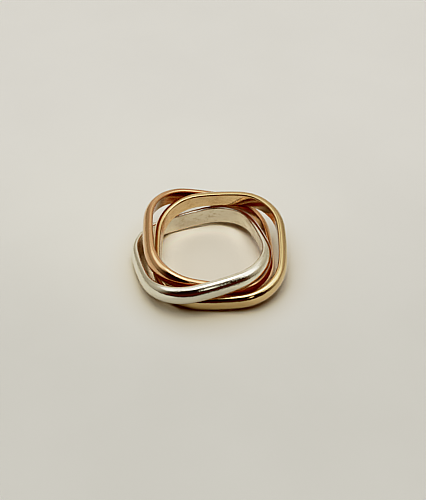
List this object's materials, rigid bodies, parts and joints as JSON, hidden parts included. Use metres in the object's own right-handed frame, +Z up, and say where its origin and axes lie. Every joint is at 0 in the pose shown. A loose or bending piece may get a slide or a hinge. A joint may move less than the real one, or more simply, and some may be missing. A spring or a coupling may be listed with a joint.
{
  "type": "rolling ring",
  "caption": "Rolling ring of interlinked soft-square bands in rose, yellow and silver metal, lying on a surface.",
  "frame": {"origin": "on the surface that the ring lies on, under the middle of its bounding box", "axes": "+Z up from the surface, +Y away from the picture's camera, +X to its right along the longest extent"},
  "size_m": [0.024, 0.023, 0.0079],
  "materials": {
    "rose_gold": "polished dome, satin inner wall",
    "yellow_gold": "polished dome, satin inner wall",
    "silver": "polished dome, satin inner wall"
  },
  "bodies": {
    "rose": {"rose_band": "rose_gold"},
    "yellow": {"yellow_band": "yellow_gold"},
    "silver": {"silver_band": "silver"}
  },
  "joints": [
    {"name": "yellow_roll", "type": "hinge", "parent": "rose", "child": "yellow", "pos_m": [0.0017, -0.00031, 0.00377], "axis": [-0.0733, -0.2256, 0.9715], "range_deg": [-3, 14]},
    {"name": "silver_roll", "type": "hinge", "parent": "rose", "child": "silver", "pos_m": [-0.00121, -0.00072, 0.00336], "axis": [-0.1365, 0.1318, 0.9818], "range_deg": [-24, 3]}
  ]
}
